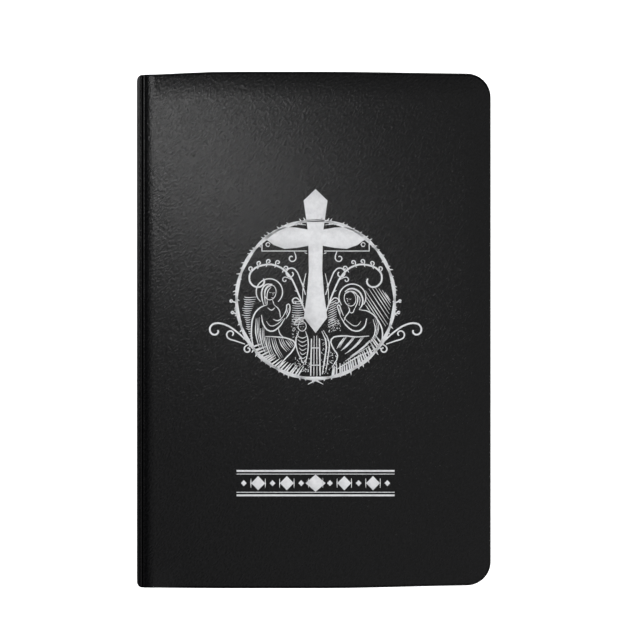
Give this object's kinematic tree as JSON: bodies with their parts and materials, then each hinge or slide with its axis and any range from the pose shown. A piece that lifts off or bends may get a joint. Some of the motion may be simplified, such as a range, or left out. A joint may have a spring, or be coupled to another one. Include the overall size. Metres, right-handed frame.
{
  "type": "bible",
  "caption": "Limp-bound devotional book with a rounded spine, grooved leather covers, sewn pages and a silver-stamped medallion with a cross.",
  "frame": {"origin": "centre of the underside, on the surface that the closed book lies on", "axes": "+X from the spine to the fore-edge, +Y from tail to head, +Z from the back cover to the front cover"},
  "size_m": [0.1484, 0.216, 0.0318],
  "materials": {
    "black_leather": "fine-grained, semi-matt imitation leather",
    "grey_card": "matt card",
    "page_paper": "thin, smooth, matt",
    "endpaper": "heavier, matt",
    "silver_foil": "hot-stamped foil, satin",
    "gauze": "open cotton gauze, glued",
    "thread": "twisted cotton",
    "band_cloth": "woven stripe over a cord"
  },
  "bodies": {
    "root": {"back_joint_leather": "black_leather", "back_endpaper_hinge": "endpaper", "spine_leather": "black_leather", "spine_liner": "grey_card", "spine_mull": "gauze", "sewing_thread": "thread", "head_band": "band_cloth", "tail_band": "band_cloth", "signature_01": "page_paper", "signature_02": "page_paper", "signature_03": "page_paper", "signature_04": "page_paper", "signature_05": "page_paper", "signature_06": "page_paper", "signature_07": "page_paper", "signature_08": "page_paper"},
    "front_half": {"front_joint_leather": "black_leather", "front_endpaper_hinge": "endpaper", "signature_09": "page_paper", "signature_10": "page_paper", "signature_11": "page_paper", "signature_12": "page_paper", "signature_13": "page_paper", "signature_14": "page_paper", "signature_15": "page_paper", "signature_16": "page_paper"},
    "front_cover": {"front_leather": "black_leather", "front_board": "grey_card", "front_pastedown": "endpaper", "foil_cross": "silver_foil", "foil_ring": "silver_foil", "foil_scrolls": "silver_foil", "foil_figures": "silver_foil", "foil_ornament": "silver_foil"},
    "back_cover": {"back_leather": "black_leather", "back_board": "grey_card", "back_pastedown": "endpaper"},
    "front_flyleaf_body": {"front_flyleaf": "endpaper"},
    "back_flyleaf_body": {"back_flyleaf": "endpaper"},
    "leaf_1_body": {"middle_leaf_1": "page_paper"},
    "leaf_2_body": {"middle_leaf_2": "page_paper"},
    "leaf_3_body": {"middle_leaf_3": "page_paper"},
    "leaf_4_body": {"middle_leaf_4": "page_paper"}
  },
  "joints": [
    {"name": "book_opening", "type": "hinge", "parent": "root", "child": "front_half", "pos_m": [-0.07422, 0, 0.01585], "axis": [0, -1, 0], "range_deg": [0, 175], "deforming": ["spine_leather", "spine_liner", "spine_mull", "sewing_thread", "head_band", "tail_band"]},
    {"name": "front_cover_hinge", "type": "hinge", "parent": "front_half", "child": "front_cover", "pos_m": [-0.07103, 0, 0.0317], "axis": [0, -1, 0], "range_deg": [0, 175], "deforming": ["front_joint_leather", "front_endpaper_hinge"]},
    {"name": "back_cover_hinge", "type": "hinge", "parent": "root", "child": "back_cover", "pos_m": [-0.07103, 0, 0], "axis": [0, -1, 0], "range_deg": [-175, 0], "deforming": ["back_joint_leather", "back_endpaper_hinge"]},
    {"name": "front_flyleaf_lift", "type": "hinge", "parent": "front_half", "child": "front_flyleaf_body", "pos_m": [-0.06867, 0, 0.02865], "axis": [0, -1, 0], "range_deg": [0, 6]},
    {"name": "back_flyleaf_lift", "type": "hinge", "parent": "root", "child": "back_flyleaf_body", "pos_m": [-0.06867, 0, 0.00305], "axis": [0, -1, 0], "range_deg": [-6, 0]},
    {"name": "leaf_1_turn", "type": "hinge", "parent": "root", "child": "leaf_1_body", "pos_m": [-0.07422, 0, 0.01585], "axis": [0, -1, 0], "range_deg": [0, 53]},
    {"name": "leaf_2_turn", "type": "hinge", "parent": "root", "child": "leaf_2_body", "pos_m": [-0.07422, 0, 0.01585], "axis": [0, -1, 0], "range_deg": [0, 74]},
    {"name": "leaf_3_turn", "type": "hinge", "parent": "front_half", "child": "leaf_3_body", "pos_m": [-0.07422, 0, 0.01585], "axis": [0, -1, 0], "range_deg": [-74, 0]},
    {"name": "leaf_4_turn", "type": "hinge", "parent": "front_half", "child": "leaf_4_body", "pos_m": [-0.07422, 0, 0.01585], "axis": [0, -1, 0], "range_deg": [-53, 0]}
  ],
  "couplings": [
    {"joint": "front_flyleaf_lift", "follows": "front_cover_hinge", "ratio": 0.03},
    {"joint": "back_flyleaf_lift", "follows": "back_cover_hinge", "ratio": 0.03},
    {"joint": "leaf_1_turn", "follows": "book_opening", "ratio": 0.3},
    {"joint": "leaf_2_turn", "follows": "book_opening", "ratio": 0.42},
    {"joint": "leaf_3_turn", "follows": "book_opening", "ratio": -0.42},
    {"joint": "leaf_4_turn", "follows": "book_opening", "ratio": -0.3}
  ]
}
